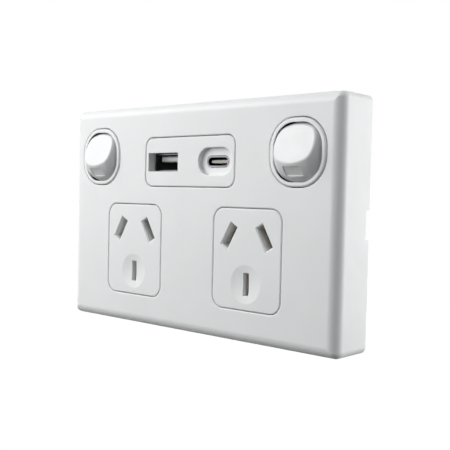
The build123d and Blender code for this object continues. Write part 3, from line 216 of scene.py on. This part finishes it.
def spread(tree, factor, low, high):
    """Maps the middle of a noise's range to low and high."""
    return ramp(tree, factor, NOISE_LOW, NOISE_HIGH, low, high)


def combine(tree, operation, first, second):
    """Math node on two values."""
    node = tree.nodes.new("ShaderNodeMath")
    node.operation = operation
    link(tree, first, node.inputs[0])
    link(tree, second, node.inputs[1])
    return node.outputs["Value"]


def colour_mix(tree, amount):
    """Mix node that goes from its colour A to its colour B as the amount goes from zero to one."""
    node = tree.nodes.new("ShaderNodeMix")
    node.data_type = "RGBA"
    link(tree, amount, node.inputs["Factor"])
    return node


def two_tone(tree, factor, dark, light):
    """Colour between two tones by a noise's middle range."""
    node = colour_mix(tree, spread(tree, factor, 0, 1))
    node.inputs["A"].default_value = (*dark, 1)
    node.inputs["B"].default_value = (*light, 1)
    return node.outputs["Result"]


def bump(tree, height, distance):
    """Surface relief of the given depth (metres)."""
    node = tree.nodes.new("ShaderNodeBump")
    node.inputs["Strength"].default_value = 1.0
    node.inputs["Distance"].default_value = distance
    link(tree, height, node.inputs["Height"])
    return node.outputs["Normal"]


def moulded_plastic(name, dark, light, rough, grain, relief, scatter=0.0):
    """Moulded plastic: faint tone drift, uneven sheen, a fine grain, and light that spreads inside."""
    material, tree, shader = new_material(name)
    shader.inputs["Subsurface Weight"].default_value = scatter
    shader.inputs["Subsurface Radius"].default_value = SCATTER_RADIUS
    shader.inputs["Subsurface Scale"].default_value = SCATTER_REACH
    tone = two_tone(tree, noise(tree, TONE_PATCHES, TONE_DETAIL), dark, light)
    patches = noise(tree, SHEEN_PATCHES, SHEEN_DETAIL)
    sheen = spread(tree, patches, rough - SHEEN_SPREAD, rough + SHEEN_SPREAD)
    link(tree, tone, shader.inputs["Base Color"])
    link(tree, sheen, shader.inputs["Roughness"])
    link(tree, bump(tree, noise(tree, grain, GRAIN_DETAIL), relief), shader.inputs["Normal"])
    return material


def drawn_metal(name, dark, light, rough, lines):
    """Metal with fine draw lines along one direction and a slight tarnish."""
    material, tree, shader = new_material(name)
    shader.inputs["Metallic"].default_value = 1.0
    tone = two_tone(tree, noise(tree, TARNISH_PATCHES, TARNISH_DETAIL), dark, light)
    marks = noise(tree, DRAW_LINES, LINE_DETAIL, lines)
    sheen = spread(tree, marks, rough - LINE_POLISHED, rough + LINE_DULLED)
    link(tree, tone, shader.inputs["Base Color"])
    link(tree, sheen, shader.inputs["Roughness"])
    link(tree, bump(tree, marks, FINE), shader.inputs["Normal"])
    return material


def paint_shade_inside(material, depths, shade):
    """Paints shade into a material's colour between depths behind the plate's front, softly at both
    ends.
    """
    tree = material.node_tree
    base_colour = tree.nodes["Principled BSDF"].inputs["Base Color"]
    surface = base_colour.links[0].from_socket
    place = tree.nodes.new("ShaderNodeTexCoord")
    split = tree.nodes.new("ShaderNodeSeparateXYZ")
    link(tree, place.outputs["Object"], split.inputs["Vector"])
    begin, full, fade, end = (FRONT_Y + depth for depth in depths)
    deepening = ramp(tree, split.outputs["Y"], begin, full, 0, 1)
    fading = ramp(tree, split.outputs["Y"], fade, end, 1, 0)
    colour = colour_mix(tree, combine(tree, "MULTIPLY", deepening, fading))
    link(tree, surface, colour.inputs["A"])
    colour.inputs["B"].default_value = (*shade, 1)
    link(tree, colour.outputs["Result"], base_colour)


def shown_directly(tree):
    """One where something is seen straight, in a reflection or through glass, and else zero."""
    path = tree.nodes.new("ShaderNodeLightPath")
    seen = combine(tree, "MAXIMUM", path.outputs["Is Camera Ray"], path.outputs["Is Glossy Ray"])
    return combine(tree, "MAXIMUM", seen, path.outputs["Is Transmission Ray"])


def add_object(name, data):
    holder = bpy.data.objects.new(name, data)
    bpy.context.scene.collection.objects.link(holder)
    return holder


def add_lamp(name, place, side, watts):
    """Square lamp that shines at the object and isn't seen itself."""
    lamp = bpy.data.lights.new(name, "AREA")
    lamp.shape = "SQUARE"
    lamp.size = side
    lamp.energy = watts
    holder = add_object(name, lamp)
    holder.location = place
    holder.rotation_euler = (Vector(LAMP_AIM) - Vector(place)).to_track_quat("-Z", "Y").to_euler()
    holder.visible_camera = False


def add_world():
    """Even glow on the object, in front of a background that shows as white."""
    world = bpy.data.worlds.new("studio")
    bpy.context.scene.world = world
    world.use_nodes = True
    tree = world.node_tree
    sky = colour_mix(tree, shown_directly(tree))
    sky.inputs["A"].default_value = AMBIENT
    sky.inputs["B"].default_value = WHITE
    link(tree, sky.outputs["Result"], tree.nodes["Background"].inputs["Color"])


def floor_material():
    """Floor that glows up to white where it is seen, less so near the object, where its shadow falls."""
    material, tree, shader = new_material("floor_white")
    shader.inputs["Base Color"].default_value = FLOOR_TONE
    shader.inputs["Roughness"].default_value = FLOOR_ROUGHNESS
    shader.inputs["Specular IOR Level"].default_value = 0.0
    shader.inputs["Emission Color"].default_value = WHITE
    place = tree.nodes.new("ShaderNodeNewGeometry")
    reach = tree.nodes.new("ShaderNodeVectorMath")
    reach.operation = "LENGTH"
    link(tree, place.outputs["Position"], reach.inputs[0])
    glow = ramp(tree, reach.outputs["Value"], FLOOR_NEAR, FLOOR_FAR, FLOOR_NEAR_GLOW, FLOOR_FAR_GLOW)
    strength = combine(tree, "MULTIPLY", glow, shown_directly(tree))
    link(tree, strength, shader.inputs["Emission Strength"])
    return material


def add_floor():
    bpy.ops.mesh.primitive_plane_add(size=FLOOR_SIZE, location=(0, 0, FLOOR_Z))
    floor = bpy.context.object
    floor.name = "floor"
    floor.data.materials.append(floor_material())
    return floor


def add_camera():
    camera = bpy.data.cameras.new("photo_camera")
    camera.sensor_width = SENSOR_WIDTH
    camera.lens = FOCAL_PIXELS * SENSOR_WIDTH / IMAGE_WIDTH
    camera.clip_start = CAMERA_NEAR
    right = Vector(CAMERA_RIGHT)
    up = Vector(CAMERA_UP)
    turn = Matrix((right, up, right.cross(up))).transposed().to_4x4()
    holder = add_object("photo_camera", camera)
    holder.matrix_world = Matrix.Translation(CAMERA_PLACE) @ turn
    bpy.context.scene.camera = holder


# Materials of the part, by the record's slots
materials = {name: moulded_plastic(name, **look) for name, look in PLASTICS.items()}
materials.update({name: drawn_metal(name, **look) for name, look in METALS.items()})
# Painted shade: the switch wells and the port shells darken with depth behind the front
paint_shade_inside(materials["bezel_white"], SWITCH_WELL, WELL_PAINTED_SHADE)
paint_shade_inside(materials["shell_steel"], PORT_INSIDE, PORT_PAINTED_SHADE)

for entry in frame["record"]["subparts"]:
    node = frame["nodes"][entry["node"]]
    node.data.materials.clear()
    node.data.materials.append(materials[entry["material_slot"]])

# Studio
for name, lamp in LAMPS.items():
    add_lamp(name, **lamp)
add_world()
add_floor()
add_camera()
bpy.context.scene.view_settings.view_transform = "Standard"
